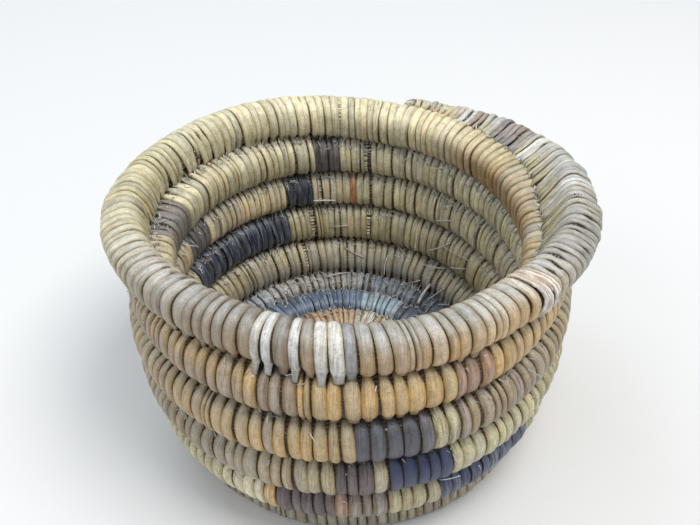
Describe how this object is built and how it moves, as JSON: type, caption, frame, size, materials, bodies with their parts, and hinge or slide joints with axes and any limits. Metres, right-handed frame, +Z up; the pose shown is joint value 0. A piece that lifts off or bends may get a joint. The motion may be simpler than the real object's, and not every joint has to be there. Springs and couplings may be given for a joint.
{
  "type": "coiled basket",
  "caption": "Round coiled bowl basket: one grass coil wound up from the base, sewn with natural and dyed flat splints, open at the top.",
  "frame": {"origin": "middle of the basket's bounding box, at the height of the surface that it stands on", "axes": "+Z up along the basket's axis; -Y towards the camera of the picture; +X to the picture's right"},
  "size_m": [0.139, 0.1294, 0.0788],
  "materials": {
    "straw_splint": "split plant fibre, satin with fine lengthwise streaks",
    "slate_splint": "split plant fibre dyed slate grey, satin",
    "indigo_splint": "split plant fibre dyed blue-black, satin",
    "plum_splint": "split plant fibre dyed purple-brown, satin",
    "pale_splint": "split plant fibre, pale and rough",
    "grass": "bundle of dry grass stems, matte"
  },
  "bodies": {
    "root": {"base_turn_1_splint_1": "straw_splint", "base_turn_2_splint_1": "straw_splint", "base_turn_2_splint_2": "straw_splint", "base_turn_3_splint_1": "straw_splint", "base_turn_3_splint_2": "straw_splint", "base_turn_4_slate_splint_1": "slate_splint", "base_turn_4_splint_1": "straw_splint", "base_turn_4_splint_2": "straw_splint", "base_turn_4_splint_3": "straw_splint", "corner_turn_splint_1": "straw_splint", "corner_turn_splint_2": "straw_splint", "corner_turn_splint_3": "straw_splint", "corner_turn_splint_4": "straw_splint", "foundation_coil": "grass", "rim_end_binding": "pale_splint", "rim_splint_1": "straw_splint", "rim_splint_2": "straw_splint", "rim_splint_3": "straw_splint", "rim_splint_4": "straw_splint", "rim_splint_5": "straw_splint", "start_knot": "grass", "wall_row_1_indigo_splint_1": "indigo_splint", "wall_row_1_plum_splint_1": "plum_splint", "wall_row_1_splint_1": "straw_splint", "wall_row_1_splint_2": "straw_splint", "wall_row_1_splint_3": "straw_splint", "wall_row_1_splint_4": "straw_splint", "wall_row_1_splint_5": "straw_splint", "wall_row_1_splint_6": "straw_splint", "wall_row_2_indigo_splint_1": "indigo_splint", "wall_row_2_indigo_splint_2": "indigo_splint", "wall_row_2_plum_splint_1": "plum_splint", "wall_row_2_splint_1": "straw_splint", "wall_row_2_splint_2": "straw_splint", "wall_row_2_splint_3": "straw_splint", "wall_row_2_splint_4": "straw_splint", "wall_row_2_splint_5": "straw_splint", "wall_row_3_indigo_splint_1": "indigo_splint", "wall_row_3_plum_splint_1": "plum_splint", "wall_row_3_slate_splint_1": "slate_splint", "wall_row_3_slate_splint_2": "slate_splint", "wall_row_3_splint_1": "straw_splint", "wall_row_3_splint_2": "straw_splint", "wall_row_3_splint_3": "straw_splint", "wall_row_3_splint_4": "straw_splint", "wall_row_3_splint_5": "straw_splint", "wall_row_3_splint_6": "straw_splint", "wall_row_4_plum_splint_1": "plum_splint", "wall_row_4_slate_splint_1": "slate_splint", "wall_row_4_slate_splint_2": "slate_splint", "wall_row_4_splint_1": "straw_splint", "wall_row_4_splint_2": "straw_splint", "wall_row_4_splint_3": "straw_splint", "wall_row_4_splint_4": "straw_splint", "wall_row_4_splint_5": "straw_splint", "wall_row_4_splint_6": "straw_splint"}
  },
  "joints": []
}
